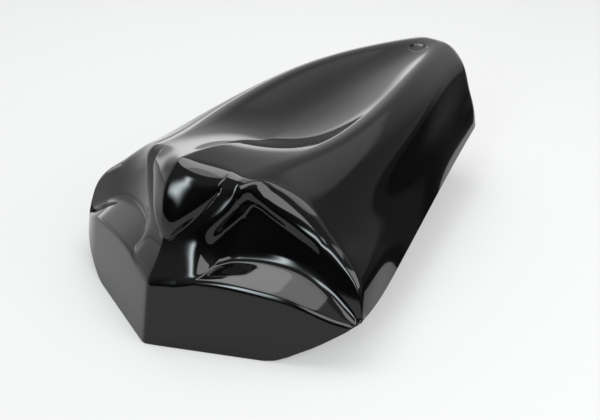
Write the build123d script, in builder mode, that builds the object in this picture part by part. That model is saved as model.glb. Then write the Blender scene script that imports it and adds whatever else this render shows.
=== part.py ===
from build123d import *
from math import cos, radians, sin, tan
import os

# Seat cowl: one moulded shell, open underneath, that takes the place of a pillion seat.
# Millimetres. Front towards -Y, tail towards +Y, up is +Z.
# While the body is drawn, Y = 0 is the foot of the prow and Z = 0 is its lower edge.

# Wall of the moulding
WALL = 3.0

# Prow: two raked panels that meet in a rounded V
PROW_SWEEP = 24.5
PROW_RAKE = 9.0
PROW_RADIUS = 9.0
PANEL_STRAIGHT = 100.0
WING_TIP_X = 150.0
WING_TIP_Y = 90.0

# Tail end, seen from above
TAIL_FOOT_Y = 397.0
TAIL_RADIUS = 100.0
TAIL_TURN = 70.0
TAIL_EDGE = 11.0

# Hump: stations along the body, from the prow to the tail
STATION_Y = (-5.0, 48.0, 90.0, 142.0, 250.0, 340.0, 372.0, 404.0)
SPINE_Z = (132.5, 131.7, 126.0, 111.0, 115.0, 121.0, 122.0, 117.5)
RIDGE_X = (45.0, 46.0, 48.5, 52.0, 47.0, 24.0, 17.0, 12.0)
RIDGE_Z = (126.0, 124.0, 120.0, 118.5, 127.0, 126.5, 122.5, 115.5)
RIM_X = (146.0, 140.0, 135.5, 123.0, 91.0, 63.5, 54.5, 46.0)
RIM_Z = (32.0, 33.0, 34.0, 39.0, 50.0, 55.0, 57.0, 59.0)
TOP_SAG = (0.58, 0.58, 0.58, 0.35, 0.25, 0.25, 0.25, 0.25)
FLANK_SHARE = (0.3, 0.6, 0.85)
FLANK_SWELL = (
    (9.0, 13.0, 12.0),
    (9.0, 13.0, 12.0),
    (9.0, 13.0, 12.0),
    (6.0, 5.5, 4.5),
    (5.0, 2.0, 1.0),
    (4.5, 2.5, 2.0),
    (4.5, 3.5, 3.0),
    (4.5, 4.0, 3.0),
)
RIDGE_RADIUS = 9.0

# Front wall of the hump: bow in the middle, scooped recess on each side
WALL_Z = (25.0, 80.0, 145.0)
WALL_X = (0.0, 20.0, 36.0, 45.0, 54.0, 70.0, 95.0, 118.0, 145.0)
WALL_Y = (
    (-16.0, -7.0, 2.0, 22.0, 44.0, 57.0, 70.0, 75.0, 79.0),
    (32.0, 35.0, 41.0, 51.0, 60.0, 70.0, 81.0, 87.0, 92.0),
    (58.0, 61.5, 67.5, 73.0, 78.0, 87.0, 98.0, 106.0, 114.0),
)
WALL_END_SLOPE = 0.35

# Recess floor: the top edge of the panel, carried back on a rising line
LEDGE_X = (0.0, 39.0, 76.0, 96.0, 109.0, 122.0, 131.0, 145.0)
LEDGE_Z = (47.0, 54.5, 51.5, 47.5, 42.0, 34.0, 28.5, 19.0)
FLOOR_RISE = 0.22
SCOOP_RADIUS = 8.0

# Nose: keel line and the two creases beside it
NOSE_Z = (72.0, 88.0, 100.0, 112.0, 124.0, 140.0)
KEEL_Y = (28.5, 26.7, 28.0, 31.0, 38.5, 62.0)
CREASE_X = (0.5, 15.0, 26.0, 35.0, 44.5, 56.0)
CREASE_Y = (29.5, 40.0, 49.0, 58.0, 67.0, 82.0)
NOSE_SWELL = 0.07

# Rounded edges: brow with the wing fronts, and the edge of the ledge
BROW_RADIUS = 3.0
LEDGE_RADIUS = 1.0
LEDGE_ROUND_X = 125.0

# Dimple near the tail
DIMPLE_Y = 352.0
DIMPLE_WIDTH = 16.0
DIMPLE_DEPTH = 2.0
DIMPLE_TOP_Z = 121.0

# Lower rim, seen from the side
KNEE_Y = 42.0
KNEE_RADIUS = 12.0
WING_RIM_Y = 79.0
WING_RIM_Z = 33.6
WING_RIM_RADIUS = 8.0
RIM_Y = (142.0, 250.0, 417.0)
RIM_SIDE_Z = (38.5, 49.5, 60.0)

# Screw bosses under the top, each with a blind hole for a threaded insert
BOSS_SPACING_X = 70.0
BOSS_SPACING_Y = 140.0
BOSS_MIDDLE_Y = 220.0
BOSS_FOOT_Z = 62.0
BOSS_RADIUS = 8.0
INSERT_RADIUS = 4.0
INSERT_DEPTH = 14.0

# Room beyond the body for the pieces that cut it
ABOVE = 160.0
BELOW = -50.0
FRONT_CLEAR = -40.0
SIDE_CLEAR = 200.0
WALL_REACH = 150.0
ON_FACE = 0.01


def panel_y(x):
    """Plan line of the panel's foot."""
    return x * tan(radians(PROW_SWEEP))


def ledge_y(x, z):
    """Place of the panel's top edge, carried back by the rake."""
    return panel_y(x) + z * tan(radians(PROW_RAKE))


def side_point(ridge, rim, share, swell, inset):
    """Point on the flank between ridge and rim, pushed out by the swell and in by the inset."""
    run = Vector(rim[0] - ridge[0], rim[1] - ridge[1])
    out = Vector(-run.Y, run.X).normalized()
    here = Vector(ridge[0], ridge[1]) + run * share + out * (swell - inset)
    return (here.X, here.Y)


def shared(edge, first, second):
    """True for an edge that lies on the skins of both pieces, away from the centre plane."""
    middle = edge @ 0.5
    near_first = first.shell().distance_to(middle) < ON_FACE
    return near_first and second.shell().distance_to(middle) < ON_FACE and middle.X > ON_FACE


def hump(inset):
    """Half of the hump, right of the centre plane, lofted through its stations."""
    with BuildPart() as body:
        for i, y in enumerate(STATION_Y):
            ridge = (RIDGE_X[i], RIDGE_Z[i])
            rim = (RIM_X[i], RIM_Z[i])
            crown = (0, SPINE_Z[i] - inset)
            ridge_in = (ridge[0] - inset / 2, ridge[1] - inset)
            half_way = (ridge_in[0] / 2, crown[1] + TOP_SAG[i] * (ridge_in[1] - crown[1]))
            flank = [side_point(ridge, rim, s, w, inset) for s, w in zip(FLANK_SHARE, FLANK_SWELL[i])]
            flank.append(side_point(ridge, rim, 1, 0, inset))
            with BuildSketch(Plane.XZ.offset(-y)):
                with BuildLine():
                    Spline(crown, half_way, ridge_in)
                    Spline(ridge_in, *flank)
                    Polyline(flank[-1], (flank[-1][0], BELOW), (0, BELOW), crown)
                make_face()
        loft()
        ridge_line = body.edges().filter_by(lambda e: (e @ 0.5).X > RIDGE_X[-1] and (e @ 0.5).Z > RIM_Z[-1])
        fillet(ridge_line.sort_by(Edge.length)[-1], radius=RIDGE_RADIUS - inset)
    return body.part


def plan_prism(inset):
    """Everything inside the plan outline: raked prow panels in front, rounded raked tail behind."""
    sweep = radians(PROW_SWEEP)
    shift = inset / cos(sweep)
    prow = (0, PROW_RADIUS / cos(sweep) - PROW_RADIUS + shift)
    corner = (PROW_RADIUS * sin(sweep), panel_y(PROW_RADIUS * sin(sweep)) + shift)
    bend = (PANEL_STRAIGHT, panel_y(PANEL_STRAIGHT) + shift)
    tip = (WING_TIP_X - inset, WING_TIP_Y + shift)
    tail_centre = TAIL_FOOT_Y - TAIL_RADIUS
    tail_r = TAIL_RADIUS - inset
    turn = radians(TAIL_TURN)
    tail = (0, tail_centre + tail_r)
    tail_mid = (tail_r * sin(turn / 2), tail_centre + tail_r * cos(turn / 2))
    tail_side = (tail_r * sin(turn), tail_centre + tail_r * cos(turn))
    with BuildPart() as prism:
        with BuildSketch():
            with BuildLine():
                TangentArc(prow, corner, tangent=(1, 0))
                Line(corner, bend)
                TangentArc(bend, tip, tangent=(1, tan(sweep)))
                Polyline(tip, (SIDE_CLEAR, tip[1]), (SIDE_CLEAR, tail_side[1]), tail_side)
                ThreePointArc(tail_side, tail_mid, tail)
                mirror(about=Plane.YZ)
            make_face()
        extrude(amount=ABOVE, taper=PROW_RAKE)
    return prism.part


def floor_block(inset):
    """Everything under the recess floor."""
    foot = [(x, z - inset - FLOOR_RISE * ledge_y(x, z)) for x, z in zip(LEDGE_X, LEDGE_Z)]
    with BuildPart() as block:
        with BuildSketch(Plane.XZ):
            with BuildLine():
                Spline(*foot)
                Polyline(foot[-1], (foot[-1][0], BELOW), (0, BELOW), foot[0])
            make_face()
        extrude(amount=WALL_REACH, dir=(0, 1, FLOOR_RISE))
    return block.part


def nose(inset):
    """Keeled nose between its two creases."""
    with BuildPart() as keel:
        for z, keel_y, crease_x, crease_y in zip(NOSE_Z, KEEL_Y, CREASE_X, CREASE_Y):
            apex = (0, keel_y + inset)
            edge = (crease_x, crease_y + inset)
            run = Vector(edge[0] - apex[0], edge[1] - apex[1])
            middle = Vector(*apex) + run * 0.5 + Vector(run.Y, -run.X) * NOSE_SWELL
            with BuildSketch(Plane.XY.offset(z)):
                with BuildLine():
                    Spline(apex, (middle.X, middle.Y), edge)
                    Polyline(edge, (edge[0], WALL_REACH), (0, WALL_REACH), apex)
                make_face()
        loft()
    return keel.part


def pocket(inset):
    """What is missing in front of the hump: the air over the recess floors and before the bow."""
    block = floor_block(inset)
    keel = nose(inset)
    with BuildPart() as wall_air:
        for z, row in zip(WALL_Z, WALL_Y):
            line = [(x, y + inset) for x, y in zip(WALL_X, row)]
            with BuildSketch(Plane.XY.offset(z)):
                with BuildLine():
                    Spline(*line, tangents=[(1, 0), (1, WALL_END_SLOPE)])
                    Polyline(line[-1], (line[-1][0], FRONT_CLEAR), (0, FRONT_CLEAR), line[0])
                make_face()
        loft()
    with BuildPart() as air:
        add(wall_air.part)
        add(block, mode=Mode.SUBTRACT)
        add(keel, mode=Mode.SUBTRACT)
        scoop_line = air.edges().filter_by(lambda e: shared(e, wall_air.part, block))
        fillet(scoop_line.sort_by(Edge.length)[-1], radius=SCOOP_RADIUS)
    return air.part


def under_rim():
    """Everything below the lower rim, drawn from the side."""
    knee = (KNEE_Y, 0)
    wing = (WING_RIM_Y, WING_RIM_Z)
    side = list(zip(RIM_Y, RIM_SIDE_Z))
    with BuildPart() as below:
        with BuildSketch(Plane.YZ) as profile:
            with BuildLine():
                Polyline((BELOW, 0), knee, wing)
                Spline(wing, *side)
                Polyline(side[-1], (side[-1][0], BELOW), (BELOW, BELOW), (BELOW, 0))
            make_face()
            fillet(profile.vertices().sort_by_distance((*knee, 0))[0], radius=KNEE_RADIUS)
            fillet(profile.vertices().sort_by_distance((*wing, 0))[0], radius=WING_RIM_RADIUS)
        extrude(amount=SIDE_CLEAR)
    return below.part


def half_body(inset, rim):
    """Right half of the cowl, solid; the inset one fills the hollow under the wall."""
    hull = hump(inset)
    prism = plan_prism(inset)
    air = pocket(inset)
    dimple_r = (DIMPLE_WIDTH**2 / 4 + DIMPLE_DEPTH**2) / (2 * DIMPLE_DEPTH)
    with BuildPart() as half:
        add(hull)
        add(prism, mode=Mode.INTERSECT)
        add(air, mode=Mode.SUBTRACT)
        if rim is not None:
            add(rim, mode=Mode.SUBTRACT)
            brow = half.edges().filter_by(lambda e: shared(e, hull, air))
            fillet(brow, radius=BROW_RADIUS)
        tail = half.edges().filter_by(lambda e: shared(e, hull, prism) and (e @ 0.5).Y > DIMPLE_Y)
        fillet(tail, radius=TAIL_EDGE - inset)
        if rim is not None:
            ledge = half.edges().filter_by(lambda e: shared(e, air, prism))
            fillet(ledge.filter_by(lambda e: PROW_RADIUS < (e @ 0.5).X < LEDGE_ROUND_X), radius=LEDGE_RADIUS)
        with Locations((0, DIMPLE_Y, DIMPLE_TOP_Z - DIMPLE_DEPTH + dimple_r)):
            Sphere(dimple_r + inset, mode=Mode.SUBTRACT)
    return half.part


rim_cut = under_rim()
outer_half = half_body(0, rim_cut)
inner_half = half_body(WALL, None)
boss_room_half = half_body(WALL / 2, None)

with BuildPart() as boss_room:
    add(boss_room_half)
    mirror(about=Plane.YZ)

with BuildPart() as bosses:
    with Locations((0, BOSS_MIDDLE_Y, BOSS_FOOT_Z)):
        with GridLocations(BOSS_SPACING_X, BOSS_SPACING_Y, 2, 2):
            Cylinder(BOSS_RADIUS, ABOVE, align=(Align.CENTER, Align.CENTER, Align.MIN))
    add(boss_room.part, mode=Mode.INTERSECT)

with BuildPart() as insert_holes:
    with Locations((0, BOSS_MIDDLE_Y, BOSS_FOOT_Z)):
        with GridLocations(BOSS_SPACING_X, BOSS_SPACING_Y, 2, 2):
            Cylinder(INSERT_RADIUS, INSERT_DEPTH, align=(Align.CENTER, Align.CENTER, Align.MIN))

with BuildPart() as shell:
    add(outer_half)
    add(inner_half, mode=Mode.SUBTRACT)
    mirror(about=Plane.YZ)
    add(bosses.part)
    add(insert_holes.part, mode=Mode.SUBTRACT)

length_middle = shell.part.bounding_box().center().Y

with BuildPart() as cowl_shell:
    with Locations((0, -length_middle, 0)):
        add(shell.part)

cowl_shell.part.label = "cowl_shell"
os.makedirs("parts", exist_ok=True)
export_step(cowl_shell.part, "parts/cowl_shell.step")
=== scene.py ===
import math

import bmesh
import bpy
import numpy as np
from mathutils import Matrix, Vector


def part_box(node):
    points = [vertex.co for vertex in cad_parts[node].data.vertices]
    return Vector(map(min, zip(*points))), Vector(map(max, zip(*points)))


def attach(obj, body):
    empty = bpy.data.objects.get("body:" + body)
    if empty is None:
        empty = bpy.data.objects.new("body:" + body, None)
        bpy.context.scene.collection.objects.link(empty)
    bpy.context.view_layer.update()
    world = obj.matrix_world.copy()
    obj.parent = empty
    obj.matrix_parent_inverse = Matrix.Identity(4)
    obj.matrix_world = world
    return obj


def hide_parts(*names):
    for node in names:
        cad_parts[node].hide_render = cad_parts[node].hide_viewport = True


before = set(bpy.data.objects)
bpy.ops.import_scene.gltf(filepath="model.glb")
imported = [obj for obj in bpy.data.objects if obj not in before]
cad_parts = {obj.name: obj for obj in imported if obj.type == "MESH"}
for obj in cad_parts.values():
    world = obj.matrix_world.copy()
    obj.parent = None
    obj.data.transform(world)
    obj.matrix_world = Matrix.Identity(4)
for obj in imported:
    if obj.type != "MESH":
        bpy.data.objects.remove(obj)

bl_info = {
    "name": "Seat cowl",
    "version": (1, 0, 0),
    "blender": (4, 5, 0),
    "location": "View3D > Sidebar > Cowl",
    "description": "Glossy moulded seat cowl and its studio",
    "category": "Object",
}

MM = 0.001

# Form of the cowl in millimetres, drawn from the foot of the prow: Y back, Z up, X across
PROW_FOOT_Y = 0.89
LENGTH_MIDDLE = PROW_FOOT_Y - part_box("cowl_shell")[0][1] / MM

# Sections of the hump along Y: spine, ridge, rim and the swell of the flank between them
STATION_Y = (-5.0, 48.0, 90.0, 142.0, 250.0, 340.0, 372.0, 404.0)
SPINE_Z = (132.5, 131.7, 126.0, 111.0, 115.0, 121.0, 122.0, 117.5)
RIDGE_X = (45.0, 46.0, 48.5, 52.0, 47.0, 24.0, 17.0, 12.0)
RIDGE_Z = (126.0, 124.0, 120.0, 118.5, 127.0, 126.5, 122.5, 115.5)
RIM_X = (146.0, 140.0, 135.5, 123.0, 91.0, 63.5, 54.5, 46.0)
RIM_Z = (32.0, 33.0, 34.0, 39.0, 50.0, 55.0, 57.0, 59.0)
TOP_SAG = (0.58, 0.58, 0.58, 0.35, 0.25, 0.25, 0.25, 0.25)
FLANK_SHARE = (0.0, 0.3, 0.6, 0.85, 1.0)
FLANK_SWELL = (
    (9.0, 9.0, 9.0, 11.0, 11.0, 9.0, 7.5, 5.5),
    (13.0, 13.0, 13.0, 8.0, 5.0, 5.0, 5.0, 4.5),
    (12.0, 12.0, 12.0, 5.0, 2.0, 3.0, 3.5, 3.0),
)

# Panels of the prow, straight and then bent round to the wing tips
PROW_SLOPE = math.tan(math.radians(24.5))
PROW_RAKE = math.tan(math.radians(9.0))
PROW_SOFT = 1.95
BEND_X = 100.0
BEND_CENTRE = (52.8, 149.2)
BEND_RADIUS = 113.8

# Bow above the prow, with the edge at its side
BOW_Z = (25.0, 48.2, 74.2, 88.0, 100.0, 112.0, 124.0, 145.0)
BOW_Y = (-10.0, 8.3, 28.7, 34.5, 39.4, 45.0, 50.5, 60.0)
BOW_SLOPE = (0.37, 0.37, 0.32, 0.26, 0.25, 0.25, 0.25, 0.25)
BOW_EDGE_X = (44.0, 39.0, 31.0, 36.5, 44.0, 49.0, 52.0, 56.0)
BOW_SOFT = 4.0
EDGE_SLOPE = 6.0
EDGE_SOFT = 3.5

# Back wall of the recess, and how much deeper it goes behind the lip
BACK_SOFT = 4.0
BACK_Z = (25.0, 80.0, 145.0)
BACK_X = (0.0, 36.0, 54.0, 70.0, 95.0, 118.0, 145.0)
BACK_Y = (
    (-2.0, 28.0, 44.0, 56.0, 69.0, 75.0, 80.0),
    (30.0, 49.0, 60.0, 70.0, 82.0, 88.0, 94.0),
    (48.0, 68.0, 78.0, 88.0, 101.0, 110.0, 119.0),
)
BACK_STEP = 7.0
BACK_STEP_FROM = (25.0, 45.0)
BACK_STEP_TO = (50.0, 115.0)

# Lip of the wing over the recess: its face, its lower edge and where it starts and ends
LIP_X = (30.0, 44.0, 51.8, 58.7, 70.0, 80.8, 90.8, 100.5, 110.2, 128.5, 137.0)
LIP_FOOT_Y = (38.0, 46.8, 54.6, 58.8, 64.6, 69.4, 72.8, 74.9, 76.4, 77.8, 76.3)
LIP_Z = (112.0, 105.0, 100.6, 95.2, 87.2, 81.0, 75.8, 71.6, 68.0, 57.0, 28.0)
LIP_RAKE = 0.12
LIP_SOFT = 2.5
LIP_FROM = (30.0, 42.0)
LIP_TO = (96.0, 124.0)
LIP_AWAY = 40.0
LIP_ROW_FROM = (40.0, 46.0)
LIP_ROW_TO = (80.0, 115.0)

# Ledge along the prow's top and the floor of the recess
LEDGE_X = (0.0, 39.0, 76.0, 96.0, 109.0, 122.0, 131.0, 145.0)
LEDGE_Z = (47.0, 54.5, 51.5, 47.5, 42.0, 34.0, 28.5, 19.0)
LEDGE_SPREAD = 0.5
FLOOR_RISE = 0.3

# Nose under the brow: keel and creases
NOSE_Z = (72.0, 88.0, 100.0, 112.0, 124.0, 140.0)
KEEL_Y = (28.5, 26.7, 28.0, 31.0, 38.5, 62.0)
CREASE_X = (0.5, 15.0, 26.0, 35.0, 44.5, 56.0)
CREASE_Y = (29.5, 40.0, 49.0, 58.0, 67.0, 82.0)
NOSE_LEAN = (0.05, 0.15, 0.45, 0.65, 0.75, 0.75)
NOSE_POWER = 3.2
KEEL_SOFT = 1.0

# Lower rim of the prow
FRONT_RIM_X = (0.0, 60.0, 82.0, 90.0, 98.0, 105.0, 113.6, 121.6, 129.6, 137.0)
FRONT_RIM_Z = (0.0, 0.0, 0.0, 1.6, 5.6, 10.0, 15.0, 20.5, 26.6, 33.6)

# Tail end, the dimple before it, and how far the front and the tail are looked for
TAIL_CENTRE_Y = 294.4
TAIL_RADIUS = 93.0
TAIL_HEART_Z = 80.0
FRONT_END_Y = 125.0
TAIL_END_Y = 403.0
DIMPLE_Y = 352.0
DIMPLE_CROWD = 10.0
DIMPLE_EDGE = 0.7

# Softness of the brow and wing edges, from the keel (0) over the ridge (1) to the wing tip (2)
BROW_ACROSS = (0.0, 0.3, 0.6, 0.95, 1.15, 1.35, 1.6, 2.0)
BROW_CUT = (6.0, 14.0, 15.0, 9.0, 15.0, 13.0, 8.0, 4.0)

# Screw bosses under the top
BOSS_X = 35.0
BOSS_Y = (150.0, 290.0)
BOSS_FOOT_Z = 62.0
BOSS_RADIUS = 8.0
INSERT_RADIUS = 4.0
INSERT_DEPTH = 14.0
BOSS_SIDES = 40

# Rows and columns of the shell's grid
TOP_COLUMNS = 60
FLANK_COLUMNS = 40
PANEL_ROWS = 12
LEDGE_ROWS = 6
FLOOR_ROWS = 8
SCOOP_ROWS = 8
WALL_ROWS = 24
CREASE_ROWS = 4
NOSE_ROWS = 20
BROW_ROWS = 14
HUMP_ROWS = 90
TAIL_ROWS = 10
PATH_POINTS = 240
SHARP_ANGLE = math.radians(40)

# Table: white that it adds for the eye, and its corners in metres, near left first and far right last
TABLE_GLOW = 0.93
TABLE_SHARE = 0.42
TABLE_CORNERS = ((-6.0, -5.2), (0.37, -0.17), (-6.0, 6.0), (-2.7, 6.0))

# Tall soft light before the prow
STRIP_ASIDE = 0.2
STRIP_NARROW = 260.0
STRIP_LIGHT = 16.0
STRIP_TINT = (0.86, 0.97, 1.0)

# Softboxes: name, centre, sizes, brightness, aim
SOFTBOXES = (
    ("top_left_box", (-0.375, 0.15, 1.3), (0.75, 1.0), 5.5, (-0.375, 0.15, 0.0)),
    ("top_right_box", (0.4, 0.15, 1.3), (0.8, 1.0), 3.2, (0.4, 0.15, 0.0)),
    ("side_box", (1.03, -0.36, 0.79), (1.4, 0.6), 4.5, (0.08, -0.11, 0.1)),
)

# Camera, in the same millimetres
CAMERA_PLACE = (529.77, -488.85, 504.75)
CAMERA_TURN = math.radians(38.2065)
CAMERA_TILT = math.radians(28.943)
CAMERA_LENS = 71.7
CAMERA_SENSOR = 36.0


class Line:
    """Smooth line through a few given points, straight at its ends."""

    def __init__(self, at, values):
        self.at = np.array(at, float)
        self.values = np.array(values, float)
        count = len(self.at)
        step = np.diff(self.at)
        rise = np.diff(self.values) / step
        system = np.eye(count)
        right = np.zeros(count)
        for k in range(1, count - 1):
            system[k, k - 1 : k + 2] = step[k - 1], 2 * (step[k - 1] + step[k]), step[k]
            right[k] = 6 * (rise[k] - rise[k - 1])
        self.bend = np.linalg.solve(system, right)

    def __call__(self, x):
        x = np.asarray(x, float)
        k = np.clip(np.searchsorted(self.at, x) - 1, 0, len(self.at) - 2)
        step = self.at[k + 1] - self.at[k]
        p = (self.at[k + 1] - x) / step
        q = 1 - p
        straight = p * self.values[k] + q * self.values[k + 1]
        return straight + ((p**3 - p) * self.bend[k] + (q**3 - q) * self.bend[k + 1]) * step**2 / 6


spine_z = Line(STATION_Y, SPINE_Z)
ridge_x = Line(STATION_Y, RIDGE_X)
ridge_z = Line(STATION_Y, RIDGE_Z)
rim_x = Line(STATION_Y, RIM_X)
rim_z = Line(STATION_Y, RIM_Z)
top_sag = Line(STATION_Y, TOP_SAG)
flank_swell = [Line(STATION_Y, row) for row in FLANK_SWELL]
swell_shape = [Line(FLANK_SHARE, np.eye(5)[k + 1]) for k in range(3)]
bow_y = Line(BOW_Z, BOW_Y)
bow_slope = Line(BOW_Z, BOW_SLOPE)
bow_edge_x = Line(BOW_Z, BOW_EDGE_X)
back_lines = [Line(BACK_X, row) for row in BACK_Y]
lip_foot_y = Line(LIP_X, LIP_FOOT_Y)
lip_z = Line(LIP_X, LIP_Z)
keel_y = Line(NOSE_Z, KEEL_Y)
crease_x = Line(NOSE_Z, CREASE_X)
crease_y = Line(NOSE_Z, CREASE_Y)
nose_lean = Line(NOSE_Z, NOSE_LEAN)
brow_cut = Line(BROW_ACROSS, BROW_CUT)
floor_foot = Line(
    LEDGE_X,
    [z - FLOOR_RISE * (x * PROW_SLOPE + z * PROW_RAKE) for x, z in zip(LEDGE_X, LEDGE_Z)],
)


def softened(x, soft):
    """Distance from the centre plane with its corner rounded off."""
    return np.sqrt(np.asarray(x, float) ** 2 + soft**2) - soft


def top_xz(share, y):
    """Section of the top at y, from the centre (0) to the ridge (1)."""
    lean = 4 * top_sag(y) - 1
    drop = lean * softened(share, KEEL_SOFT / ridge_x(y)) + (1 - lean) * share**2
    return np.stack([share * ridge_x(y), spine_z(y) + (ridge_z(y) - spine_z(y)) * drop], -1)


def flank_xz(share, y):
    """Section of the flank at y, from the ridge (0) to the rim (1)."""
    ridge = np.stack([ridge_x(y), ridge_z(y)], -1)
    run = np.stack([rim_x(y), rim_z(y)], -1) - ridge
    out = np.stack([-run[..., 1], run[..., 0]], -1) / np.linalg.norm(run, axis=-1, keepdims=True)
    swell = sum(shape(share) * line(y) for shape, line in zip(swell_shape, flank_swell))
    return ridge + run * np.asarray(share)[..., None] + out * swell[..., None]


def arc(start, start_way, end, end_way, share):
    """Point on a soft bend that leaves start and reaches end in the given directions."""
    share = np.asarray(share)[..., None]
    reach = 0.375 * np.linalg.norm(end - start, axis=-1, keepdims=True)
    a = start + start_way * reach
    b = end - end_way * reach
    rest = 1 - share
    return rest**3 * start + 3 * rest**2 * share * a + 3 * rest * share**2 * b + share**3 * end


def unit(v):
    return v / np.linalg.norm(v, axis=-1, keepdims=True)


def hump_points(across, y, soft):
    """Points of the hump at a place across (0 centre, 1 ridge, 2 rim) along y, with a soft ridge."""
    y = np.atleast_1d(np.asarray(y, float))
    across = np.full_like(y, across)
    width = np.minimum(soft, 0.6 * ridge_x(y))
    before = 1 - width / ridge_x(y)
    after = width / np.hypot(rim_x(y) - ridge_x(y), rim_z(y) - ridge_z(y))
    step = 0.01
    first = top_xz(before, y)
    last = flank_xz(after, y)
    first_way = unit(first - top_xz(before - step, y))
    last_way = unit(flank_xz(after + step, y) - last)
    share = np.clip((across - before) / (1 + after - before), 0, 1)
    bend = arc(first, first_way, last, last_way, share)
    top = top_xz(np.minimum(across, 1), y)
    flank = flank_xz(np.maximum(across - 1, 0), y)
    xz = np.where((across < before)[:, None], top, np.where((across > 1 + after)[:, None], flank, bend))
    return np.stack([xz[:, 0], y, xz[:, 1]], -1)


def panel_y(x, z):
    """Front face of the prow's panels."""
    x = np.asarray(x, float)
    straight = PROW_SLOPE * np.sqrt(np.minimum(x, BEND_X) ** 2 + PROW_SOFT**2)
    bent = BEND_CENTRE[1] - np.sqrt(BEND_RADIUS**2 - (np.maximum(x, BEND_X) - BEND_CENTRE[0]) ** 2)
    start = BEND_CENTRE[1] - math.sqrt(BEND_RADIUS**2 - (BEND_X - BEND_CENTRE[0]) ** 2)
    foot = straight + bent - start
    slope = np.where(
        x > BEND_X, (np.maximum(x, BEND_X) - BEND_CENTRE[0]) / (BEND_CENTRE[1] - bent), PROW_SLOPE
    )
    return foot + z * PROW_RAKE * np.sqrt(1 + slope**2)


def smooth_step(x, start, end):
    """Soft rise from 0 to 1 between two places."""
    share = np.clip((np.asarray(x, float) - start) / (end - start), 0, 1)
    return share * share * (3 - 2 * share)


def smooth_max(a, b, soft):
    """Greater of two values with the corner between them rounded."""
    return (a + b + np.sqrt((a - b) ** 2 + soft**2)) / 2


def wall_y(x, z):
    """Face of the bow, its side edge, the back wall of the recess and the wing's lip over it."""
    low, middle, high = BACK_Z
    rows = [line(x) for line in back_lines]
    a = (z - middle) * (z - high) / ((low - middle) * (low - high))
    b = (z - low) * (z - high) / ((middle - low) * (middle - high))
    c = (z - low) * (z - middle) / ((high - low) * (high - middle))
    back = a * rows[0] + b * rows[1] + c * rows[2]
    back = back + BACK_STEP * smooth_step(x, *BACK_STEP_FROM) * (1 - smooth_step(x, *BACK_STEP_TO))
    bow = bow_y(z) + bow_slope(z) * softened(x, BOW_SOFT)
    side = bow + EDGE_SLOPE * smooth_max(x - bow_edge_x(z), 0, EDGE_SOFT)
    lip = lip_foot_y(x) + LIP_RAKE * z + EDGE_SLOPE * smooth_max(lip_z(x) - z, 0, LIP_SOFT)
    lip = lip + LIP_AWAY * (1 - smooth_step(x, *LIP_FROM) + smooth_step(x, *LIP_TO))
    return -smooth_max(smooth_max(-back, -side, BACK_SOFT), -lip, LIP_SOFT)


def nose_y(x, z):
    """Face of the full nose beside its keel."""
    z = np.maximum(z, NOSE_Z[0])
    share = softened(x, KEEL_SOFT) / crease_x(z)
    lean = nose_lean(z)
    bulge = lean * share + (1 - lean) * share**NOSE_POWER
    return keel_y(z) + (crease_y(z) - keel_y(z)) * bulge


def floor_y(x, z):
    """Depth at which the recess floor reaches a height."""
    return (z - floor_foot(x)) / FLOOR_RISE


def front_y(x, z):
    """Front of the body above the recess floor."""
    return np.maximum(panel_y(x, z), np.minimum(wall_y(x, z), nose_y(x, z)))


def tail_y(x):
    """Face of the tail end."""
    return TAIL_CENTRE_Y + np.sqrt(np.maximum(TAIL_RADIUS**2 - np.asarray(x, float) ** 2, 0))


def first_crossing(values, shares):
    """Share at which the values first turn positive, or the last share."""
    if values[0] > 0:
        return shares[0]
    above = np.nonzero(values > 0)[0]
    if len(above) == 0:
        return shares[-1]
    k = above[0]
    part = values[k - 1] / (values[k - 1] - values[k])
    return shares[k - 1] + part * (shares[k] - shares[k - 1])


def lengths(path):
    return np.concatenate([[0], np.cumsum(np.linalg.norm(np.diff(path, axis=0), axis=1))])


def along(path, distance):
    """Points at given distances along a path."""
    run = lengths(path)
    return np.stack([np.interp(distance, run, path[:, k]) for k in range(3)], -1)


def spread(path, count, start=0.0, end=0.0):
    """Path cut back at both ends and spaced evenly in count steps."""
    total = lengths(path)[-1]
    return along(path, np.linspace(start, max(total - end, start), count + 1))


def crowded(path, count, start, end):
    """Path cut back at both ends, with its rows closer together by the dimple."""
    run = lengths(path)
    weight = 1 + 3 * np.exp(-(((path[:, 1] - DIMPLE_Y) / DIMPLE_CROWD) ** 2))
    total = np.concatenate([[0], np.cumsum(np.diff(run) * (weight[1:] + weight[:-1]) / 2)])
    ends = np.interp([start, run[-1] - end], run, total)
    return along(path, np.interp(np.linspace(*ends, count + 1), total, run))


def bend_between(path, cut, following, following_cut, count):
    """Soft corner from one path to the next."""
    total = lengths(path)[-1]
    feel = 0.4
    a = along(path, [total - cut - feel, total - cut])
    b = along(following, [following_cut, following_cut + feel])
    way_a = a[1] - a[0]
    way_b = b[1] - b[0]
    if min(np.linalg.norm(way_a), np.linalg.norm(way_b)) < 1e-6 or np.linalg.norm(b[0] - a[1]) < 1e-6:
        return a[1] + (b[0] - a[1]) * np.linspace(0, 1, count + 1)[:, None]
    return arc(a[1], unit(way_a), b[0], unit(way_b), np.linspace(0, 1, count + 1))


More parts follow.
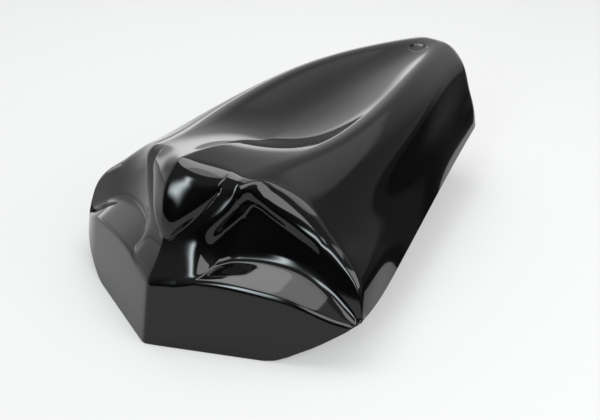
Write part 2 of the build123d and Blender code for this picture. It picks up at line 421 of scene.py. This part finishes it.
def cowl_column(across, form):
    """One column of the shell: up the front, over the brow and back to the tail's edge."""
    y = np.linspace(STATION_Y[0], FRONT_END_Y, 1200)
    row = hump_points(across, y, form["ridge"])
    edge_y = first_crossing(y - front_y(row[:, 0], row[:, 2]), y)
    edge = hump_points(across, edge_y, form["ridge"])[0]
    y = np.linspace(edge_y, TAIL_END_Y, 1500)
    row = hump_points(across, y, form["ridge"])
    end_y = first_crossing(y - tail_y(row[:, 0]), y)
    hump = hump_points(across, np.linspace(edge_y, end_y, 600), form["ridge"])

    foot_x = min(edge[0], FRONT_RIM_X[-1])
    foot = np.array([foot_x, np.interp(foot_x, FRONT_RIM_X, FRONT_RIM_Z)])
    v = np.linspace(0, 1, 4000)
    x = foot[0] + (edge[0] - foot[0]) * v
    z = foot[1] + (edge[2] - foot[1]) * v
    inner = np.minimum(wall_y(x, z), nose_y(x, z))
    low = first_crossing(np.minimum(floor_y(x, z), inner) - panel_y(x, z), v)
    back = max(first_crossing(floor_y(x, z) - inner, v), low)
    crease = first_crossing(wall_y(x, z) - nose_y(x, z), v)
    lip = first_crossing(z - lip_z(x), v)
    part = smooth_step(edge[0], *LIP_ROW_FROM) * (1 - smooth_step(edge[0], *LIP_ROW_TO))
    crease = max(crease + (lip - crease) * part, back)

    def piece(start, end, face):
        share = np.linspace(start, end, PATH_POINTS)
        px = foot[0] + (edge[0] - foot[0]) * share
        pz = foot[1] + (edge[2] - foot[1]) * share
        return np.stack([px, face(px, pz), pz], -1)

    panel = piece(0, low, panel_y)
    floor = piece(low, back, floor_y)
    wall = piece(back, crease, front_y)
    nose = piece(crease, 1, front_y)
    return panel, floor, wall, nose, hump


def tail_path(end, across, reach):
    """Way from the end of a column towards the heart of the tail's face."""
    heart = np.array([0.0, TAIL_HEART_Z + (end[2] - TAIL_HEART_Z) * max(across - 1, 0)])
    inward = unit(heart - end[[0, 2]])
    step = np.linspace(0, reach, 80)
    x = np.maximum(end[0] + inward[0] * step, 0)
    return np.stack([x, tail_y(x), end[2] + inward[1] * step], -1)


def cowl_rows(across, form):
    """Points of one column, with every corner softened, ending just inside the tail's face."""
    panel, floor, wall, nose, hump = cowl_column(across, form)
    panel_run, floor_run, wall_run = (lengths(path)[-1] for path in (panel, floor, wall))
    lip = form["lip"] * (1 + LEDGE_SPREAD * math.exp(-floor_run / form["lip"]))
    short = max(0.0, lip - floor_run) / 2
    if short > 0:
        panel = along(panel, np.linspace(0, panel_run - min(short, 0.4 * panel_run), PATH_POINTS))
        wall = along(wall, np.linspace(min(short, 0.4 * wall_run), wall_run, PATH_POINTS))
        floor = panel[-1] + (wall[0] - panel[-1]) * np.linspace(0, 1, 60)[:, None]
        panel_run, floor_run, wall_run = (lengths(path)[-1] for path in (panel, floor, wall))

    ledge_panel = min(form["ledge"], 0.45 * panel_run)
    ledge_floor = min(form["ledge"], 0.45 * floor_run)
    scoop_floor = min(form["scoop"], 0.5 * floor_run)
    scoop_wall = min(form["scoop"], 0.35 * wall_run)
    face = np.concatenate([wall, nose[1:]])
    face_run = lengths(face)[-1]
    brow = min(form["brow"] * brow_cut(across), 0.45 * face_run)
    top_end = face_run - brow
    split = min(max(wall_run, scoop_wall), top_end)
    crease = max(0.0, min(form["crease"], 0.3 * (top_end - split), 0.3 * (split - scoop_wall)))
    tail = tail_path(hump[-1], across, 1.6 * form["tail"])

    return np.concatenate([
        spread(panel, PANEL_ROWS, 0, ledge_panel),
        bend_between(panel, ledge_panel, floor, ledge_floor, LEDGE_ROWS)[1:],
        spread(floor, FLOOR_ROWS, ledge_floor, scoop_floor)[1:],
        bend_between(floor, scoop_floor, wall, scoop_wall, SCOOP_ROWS)[1:],
        along(face, np.linspace(scoop_wall, split - crease, WALL_ROWS + 1))[1:],
        bend_between(face, face_run - split + crease, face, split + crease, CREASE_ROWS)[1:],
        along(face, np.linspace(split + crease, top_end, NOSE_ROWS + 1))[1:],
        bend_between(face, brow, hump, brow, BROW_ROWS)[1:],
        crowded(hump, HUMP_ROWS, brow, form["tail"])[1:],
        bend_between(hump, form["tail"], tail, form["tail"], TAIL_ROWS)[1:],
    ])


def tail_patch(edge):
    """Grid of the tail's face inside the last points of all columns."""
    top = edge[: TOP_COLUMNS + 1]
    side = edge[TOP_COLUMNS:]
    low = np.array([0.0, 0.0, float(rim_z(TAIL_CENTRE_Y + TAIL_RADIUS))])
    k = np.linspace(0, 1, TOP_COLUMNS + 1)[:, None, None]
    m = np.linspace(0, 1, FLANK_COLUMNS + 1)[None, :, None]
    bottom = low + (side[-1] - low) * k[:, 0]
    centre = top[0] + (low - top[0]) * m[0]
    across = (1 - m) * top[:, None] + m * bottom[:, None]
    down = (1 - k) * centre[None] + k * side[None]
    corners = (1 - k) * (1 - m) * top[0] + k * (1 - m) * top[-1] + (1 - k) * m * low + k * m * side[-1]
    grid = across + down - corners
    grid[..., 1] = tail_y(grid[..., 0])
    grid[:, 0] = top
    grid[-1] = side
    return grid


def place(point):
    return Vector((point[0] * MM, (point[1] - LENGTH_MIDDLE) * MM, point[2] * MM))


def grid_sheet(bm, points):
    """Sheet of faces through an array of points."""
    columns, rows = points.shape[0] - 1, points.shape[1] - 1
    made = bmesh.ops.create_grid(bm, x_segments=columns, y_segments=rows, size=1.0)
    for vert in made["verts"]:
        i = round((vert.co.x + 1) / 2 * columns)
        j = round((vert.co.y + 1) / 2 * rows)
        vert.co = place(points[i, j])


def cowl_skin(bm, form):
    """Outer face of the cowl, both halves, facing outwards."""
    across = np.concatenate([
        np.linspace(0, 1, TOP_COLUMNS + 1) ** 1.1,
        1 + np.linspace(0, 1, FLANK_COLUMNS + 1)[1:] ** 1.25,
    ])
    points = np.array([cowl_rows(a, form) for a in across])
    points[0, :, 0] = 0
    reach = np.hypot(points[..., 0], points[..., 1] - DIMPLE_Y) / form["dimple"]
    on_top = points[..., 2] > TAIL_HEART_Z
    points[..., 2] -= form["dimple_depth"] * np.where(on_top, smooth_step(reach, 1, DIMPLE_EDGE), 0)
    grid_sheet(bm, points)
    grid_sheet(bm, tail_patch(points[:, -1]))
    bmesh.ops.mirror(bm, geom=bm.verts[:] + bm.edges[:] + bm.faces[:], axis="X", merge_dist=2e-5)
    bmesh.ops.remove_doubles(bm, verts=bm.verts[:], dist=4e-5)
    bmesh.ops.dissolve_degenerate(bm, edges=bm.edges[:], dist=2e-5)
    faces_outward(bm)


def faces_outward(bm):
    """Turns every face outwards."""
    bmesh.ops.recalc_face_normals(bm, faces=bm.faces[:])
    highest = max(bm.faces, key=lambda f: f.calc_center_median().z)
    if highest.normal.z < 0:
        bmesh.ops.reverse_faces(bm, faces=bm.faces[:])


def cowl_wall(bm, thickness, rounding):
    """Gives the skin its wall, with a flat foot and a rounded rim."""
    bm.normal_update()
    skin = bm.verts[:]
    loop = [e for e in bm.edges if e.is_boundary]
    rim = {v for e in loop for v in e.verts}
    depth = {v: v.normal * thickness for v in skin}
    twin = bmesh.ops.duplicate(bm, geom=skin + bm.edges[:] + bm.faces[:])["vert_map"]
    for vert in skin:
        twin[vert].co = vert.co - depth[vert]
    free = [twin[v] for v in skin if v not in rim]
    for _ in range(6):
        bmesh.ops.smooth_vert(
            bm, verts=free, factor=0.4, use_axis_x=True, use_axis_y=True, use_axis_z=True
        )
    for vert in bm.verts:
        vert.co.z = max(vert.co.z, 0.0)

    outer = {v: v.co.copy() for v in rim}
    inner = {v: twin[v].co.copy() for v in rim}
    for vert in list(rim) + [twin[v] for v in rim]:
        inward = [e for e in vert.link_edges if not e.is_boundary]
        up = sum((e.other_vert(vert).co - vert.co for e in inward), Vector())
        vert.co += up.normalized() * min(rounding, 0.5 * up.length)
    source = {v: v for v in rim}
    for step in range(3):
        made = bmesh.ops.extrude_edge_only(bm, edges=loop)["geom"]
        fresh = {g for g in made if isinstance(g, bmesh.types.BMVert)}
        loop = [g for g in made if isinstance(g, bmesh.types.BMEdge) and fresh.issuperset(g.verts)]
        source = {
            e.other_vert(v): first
            for v, first in source.items()
            for e in v.link_edges
            if e.other_vert(v) in fresh
        }
        for vert, first in source.items():
            run = inner[first] - outer[first]
            short = run.normalized() * min(rounding, 0.4 * run.length)
            vert.co = outer[first] + short if step == 0 else inner[first] - short
    bmesh.ops.weld_verts(bm, targetmap={v: twin[first] for v, first in source.items()})
    faces_outward(bm)


def skin_z(x, y, soft):
    """Height of the outer face over a place under the top."""
    section = hump_points(np.linspace(0, 1.6, 65), np.full(65, y), soft)
    return float(np.interp(x, section[:, 0], section[:, 2]))


def ring(bm, x, y, z, radius):
    """Closed loop of edges round an upright axis."""
    made = bmesh.ops.create_circle(
        bm, segments=BOSS_SIDES, radius=radius * MM, matrix=Matrix.Translation(place((x, y, z)))
    )
    return made["verts"], list({e for v in made["verts"] for e in v.link_edges})


def add_boss(bm, x, y, form):
    """Moulded boss with a blind hole, from its foot up into the wall."""
    before = set(bm.faces)
    _, foot = ring(bm, x, y, BOSS_FOOT_Z, BOSS_RADIUS)
    top_verts, top = ring(bm, x, y, BOSS_FOOT_Z + 1, BOSS_RADIUS)
    _, mouth = ring(bm, x, y, BOSS_FOOT_Z, INSERT_RADIUS)
    _, end = ring(bm, x, y, BOSS_FOOT_Z + INSERT_DEPTH, INSERT_RADIUS)
    for vert in top_verts:
        height = skin_z(abs(vert.co.x) / MM, vert.co.y / MM + LENGTH_MIDDLE, form["ridge"])
        vert.co.z = (height - form["wall"] / 2) * MM
    for pair in ((top, foot), (foot, mouth), (mouth, end)):
        bmesh.ops.bridge_loops(bm, edges=pair[0] + pair[1])
    bmesh.ops.contextual_create(bm, geom=end)
    bmesh.ops.contextual_create(bm, geom=top)
    bmesh.ops.bevel(
        bm, geom=foot + mouth, offset=form["rounding"] * MM, segments=2, profile=0.5,
        affect="EDGES", material=-1,
    )
    bmesh.ops.recalc_face_normals(bm, faces=[f for f in bm.faces if f not in before])


def length_prop(name, description, value):
    return bpy.props.FloatProperty(name=name, description=description, default=value * MM, unit="LENGTH")


class COWL_form(bpy.types.PropertyGroup):
    """Sizes of the wall, its soft corners and the dimple."""

    wall: length_prop("Wall", "Thickness of the moulding", 3.0)
    rounding: length_prop("Rim rounding", "Rounding of the lower rim and the bosses", 0.6)
    ridge: length_prop("Ridge", "Half width of the soft ridge", 9.0)
    brow: bpy.props.FloatProperty(
        name="Brow", description="Softness of the brow and wing edges", default=1.0, min=0.1, max=2.0
    )
    crease: length_prop("Crease", "Cut of the hollow crease beside the nose", 2.0)
    ledge: length_prop("Ledge", "Cut of the ledge's edge", 2.5)
    scoop: length_prop("Scoop", "Cut of the recess's hollow corner", 6.0)
    lip: length_prop("Lip", "Least width of the ledge", 4.0)
    tail: length_prop("Tail edge", "Cut of the tail's edge", 11.0)
    dimple: length_prop("Dimple", "Radius of the dimple", 8.5)
    dimple_depth: length_prop("Dimple depth", "Depth of the dimple", 1.8)


class COWL_look(bpy.types.PropertyGroup):
    """Colours of the plastic and the table."""

    plastic: bpy.props.FloatVectorProperty(
        name="Plastic", description="Colour of the moulded plastic", default=(0.0014, 0.0014, 0.0016),
        size=3, subtype="COLOR", min=0, max=1,
    )
    table: bpy.props.FloatVectorProperty(
        name="Table", description="Colour of the table", default=(0.49, 0.49, 0.49),
        size=3, subtype="COLOR", min=0, max=1,
    )


class Tap:
    """A shader socket that takes part in sums."""

    def __init__(self, nodes, socket):
        self.nodes = nodes
        self.socket = socket

    def join(self, operation, first, second):
        return self.nodes.node("ShaderNodeMath", {"operation": operation}, {0: first, 1: second})

    def __add__(self, other):
        return self.join("ADD", self, other)

    def __sub__(self, other):
        return self.join("SUBTRACT", self, other)

    def __rsub__(self, other):
        return self.join("SUBTRACT", other, self)

    def __mul__(self, other):
        return self.join("MULTIPLY", self, other)

    def __pow__(self, other):
        return self.join("POWER", self, other)

    def at_least(self, other):
        return self.join("MAXIMUM", self, other)

    __radd__ = __add__
    __rmul__ = __mul__


class Nodes:
    """The nodes of one material or of the world."""

    def __init__(self, owner):
        owner.use_nodes = True
        self.tree = owner.node_tree
        self.tree.nodes.clear()

    def node(self, kind, settings=None, inputs=None, out=0):
        made = self.tree.nodes.new(kind)
        for key, value in (settings or {}).items():
            setattr(made, key, value)
        for key, value in (inputs or {}).items():
            if isinstance(value, Tap):
                self.tree.links.new(value.socket, made.inputs[key])
            else:
                made.inputs[key].default_value = value
        return Tap(self, made.outputs[out]) if made.outputs else None


def gloss_plastic(colour):
    """Black moulded plastic under a gloss coat, with a faint peel and wiped-dust haze."""
    material = bpy.data.materials.new("gloss_plastic")
    nodes = Nodes(material)
    place_in = nodes.node("ShaderNodeTexCoord", out="Object")
    peel = nodes.node("ShaderNodeTexNoise", None, {"Vector": place_in, "Scale": 420.0, "Detail": 1.0})
    wave = nodes.node("ShaderNodeTexNoise", None, {"Vector": place_in, "Scale": 26.0, "Detail": 2.0})
    haze = nodes.node("ShaderNodeTexNoise", None, {"Vector": place_in, "Scale": 11.0, "Detail": 6.0})
    normal = nodes.node("ShaderNodeBump", None, {
        "Strength": 0.012,
        "Distance": 0.0004,
        "Height": peel * 0.5 + wave * 2.0,
    })
    shader = nodes.node("ShaderNodeBsdfPrincipled", None, {
        "Base Color": (*colour, 1.0),
        "Roughness": 0.035 + haze * 0.05,
        "IOR": 1.44,
        "Normal": normal,
    })
    nodes.node("ShaderNodeOutputMaterial", None, {"Surface": shader})
    return material


def table_white(colour):
    """Pale table that reads as white and keeps the shadow."""
    material = bpy.data.materials.new("table_white")
    nodes = Nodes(material)
    seen = nodes.node("ShaderNodeLightPath", out="Is Camera Ray")
    glossy = nodes.node("ShaderNodeLightPath", out="Is Glossy Ray")
    through = nodes.node("ShaderNodeLightPath", out="Is Transmission Ray")
    lit = nodes.node("ShaderNodeBsdfDiffuse", None, {"Color": (*colour, 1.0)})
    white = nodes.node("ShaderNodeEmission", None, {"Color": (1, 1, 1, 1), "Strength": TABLE_GLOW})
    share = seen.at_least(glossy).at_least(through) * TABLE_SHARE
    shader = nodes.node("ShaderNodeMixShader", None, {0: share, 1: lit, 2: white})
    nodes.node("ShaderNodeOutputMaterial", None, {"Surface": shader})
    return material


def studio_world():
    """Dim room, pale behind and to the left, with a soft light before the prow."""
    world = bpy.data.worlds.new("room")
    nodes = Nodes(world)
    way = nodes.node("ShaderNodeTexCoord", out="Generated")

    def toward(direction):
        aim = Vector(direction).normalized()
        return nodes.node(
            "ShaderNodeVectorMath", {"operation": "DOT_PRODUCT"}, {0: way, 1: aim}, "Value"
        )

    def ramp(value, start, end, low, high):
        return nodes.node("ShaderNodeMapRange", {"interpolation_type": "SMOOTHSTEP"}, {
            "Value": value, "From Min": start, "From Max": end, "To Min": low, "To Max": high,
        })

    pale = toward((-0.5, 0.7, 0.5))
    across = toward((1.0, 0.0, 0.0))
    behind = toward((0.0, 1.0, 0.0))
    height = toward((0.0, 0.0, 1.0))
    # Pale wall behind and to the left, and the brighter left side
    room = ramp(pale, -0.75, -0.25, 0.05, 0.32) + ramp(pale, 0.6, 0.85, 0.0, 0.35)
    room = room + ramp(toward((-1.0, 0.1, 0.3)), 0.6, 0.9, 0.0, 0.6)
    # Lit ceiling behind on the right
    ceiling = ramp(height, 0.67, 0.72, 0.0, 0.6) * ramp(across, -0.3, 0.0, 0.0, 1.0)
    room = room + ceiling * ramp(behind, 0.1, 0.3, 0.0, 1.0)
    # Light low on the left wall
    corner = ramp(toward((-0.75, 0.66, 0.0)), 0.6, 0.9, 0.0, 1.0)
    room = room + ramp(height, 0.06, 0.2, 1.3, 0.0) * corner
    # Dark below the table and low behind on the right
    room = room * ramp(height, -0.1, -0.02, 0.3, 1.0)
    low = ramp(height, 0.06, 0.14, 0.7, 0.0) * ramp(across, 0.1, 0.3, 0.0, 1.0)
    room = room * (1.0 - low * ramp(behind, 0.0, 0.3, 0.0, 1.0))
    # Tall soft light before the prow
    aside = across - STRIP_ASIDE
    thin = (1.0 - aside * aside).at_least(0.0) ** STRIP_NARROW
    tall = ramp(height, 0.0, 0.2, 0.0, 1.0) * ramp(height, 0.68, 0.85, 1.0, 0.0)
    glow = thin * tall * ramp(toward((0.0, -1.0, 0.0)), 0.1, 0.5, 0.0, STRIP_LIGHT)
    light = nodes.node(
        "ShaderNodeVectorMath", {"operation": "MULTIPLY_ADD"}, {0: STRIP_TINT, 1: glow, 2: room}
    )
    dim = nodes.node("ShaderNodeBackground", None, {"Color": light, "Strength": 1.0})
    nodes.node("ShaderNodeOutputWorld", None, {"Surface": dim})
    return world


def add_object(name, mesh_or_lamp):
    made = bpy.data.objects.new(name, mesh_or_lamp)
    bpy.context.scene.collection.objects.link(made)
    return made


class COWL_OT_shell(bpy.types.Operator):
    """Builds the moulded shell in place of its plain solid"""

    bl_idname = "cowl.shell"
    bl_label = "Cowl shell"

    def execute(self, context):
        sizes = context.scene.cowl_form
        form = {name: getattr(sizes, name) / MM for name in COWL_form.__annotations__}
        form["brow"] = sizes.brow
        bm = bmesh.new()
        cowl_skin(bm, form)
        cowl_wall(bm, sizes.wall, sizes.rounding)
        for y in BOSS_Y:
            for x in (-BOSS_X, BOSS_X):
                add_boss(bm, x, y, form)
        for face in bm.faces:
            face.smooth = True
        for edge in bm.edges:
            if len(edge.link_faces) == 2 and edge.calc_face_angle(0) > SHARP_ANGLE:
                edge.smooth = False
        mesh = bpy.data.meshes.new("cowl")
        bm.to_mesh(mesh)
        bm.free()
        mesh.materials.append(gloss_plastic(context.scene.cowl_look.plastic))
        piece = add_object("cowl", mesh)
        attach(piece, "root")
        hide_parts("cowl_shell")
        return {"FINISHED"}


class COWL_OT_stage(bpy.types.Operator):
    """Sets the table, the lights and the camera"""

    bl_idname = "cowl.stage"
    bl_label = "Studio"

    def execute(self, context):
        scene = context.scene
        bm = bmesh.new()
        bmesh.ops.create_grid(bm, x_segments=1, y_segments=1, size=1.0)
        for vert in bm.verts:
            vert.co.xy = TABLE_CORNERS[(vert.co.x > 0) + 2 * (vert.co.y > 0)]
        mesh = bpy.data.meshes.new("table")
        bm.to_mesh(mesh)
        bm.free()
        mesh.materials.append(table_white(scene.cowl_look.table))
        add_object("table", mesh)
        scene.world = studio_world()
        for name, centre, size, brightness, aim in SOFTBOXES:
            lamp = bpy.data.lights.new(name, "AREA")
            lamp.shape = "RECTANGLE"
            lamp.size, lamp.size_y = size
            lamp.energy = brightness * math.pi * size[0] * size[1]
            box = add_object(name, lamp)
            box.location = centre
            box.rotation_euler = (Vector(centre) - Vector(aim)).to_track_quat("Z", "Y").to_euler()
        lens = bpy.data.cameras.new("camera")
        lens.lens = CAMERA_LENS
        lens.sensor_width = CAMERA_SENSOR
        camera = add_object("camera", lens)
        flat = math.cos(CAMERA_TILT)
        back = Vector((
            math.sin(CAMERA_TURN) * flat, -math.cos(CAMERA_TURN) * flat, math.sin(CAMERA_TILT)
        ))
        camera.location = place(CAMERA_PLACE)
        camera.rotation_euler = back.to_track_quat("Z", "Y").to_euler()
        scene.camera = camera
        scene.view_settings.view_transform = "Standard"
        return {"FINISHED"}


class COWL_PT_panel(bpy.types.Panel):
    """Sidebar page of the cowl"""

    bl_idname = "COWL_PT_panel"
    bl_label = "Seat cowl"
    bl_space_type = "VIEW_3D"
    bl_region_type = "UI"
    bl_category = "Cowl"

    def draw(self, context):
        for group in (context.scene.cowl_form, context.scene.cowl_look):
            for name in type(group).__annotations__:
                self.layout.prop(group, name)
        self.layout.operator(COWL_OT_shell.bl_idname)
        self.layout.operator(COWL_OT_stage.bl_idname)


CLASSES = (COWL_form, COWL_look, COWL_OT_shell, COWL_OT_stage, COWL_PT_panel)


def register():
    for cls in CLASSES:
        bpy.utils.register_class(cls)
    bpy.types.Scene.cowl_form = bpy.props.PointerProperty(type=COWL_form)
    bpy.types.Scene.cowl_look = bpy.props.PointerProperty(type=COWL_look)


def unregister():
    del bpy.types.Scene.cowl_look
    del bpy.types.Scene.cowl_form
    for cls in reversed(CLASSES):
        bpy.utils.unregister_class(cls)


def main():
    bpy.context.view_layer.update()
    register()
    bpy.ops.cowl.shell()
    bpy.ops.cowl.stage()


if __name__ == "__main__":
    main()
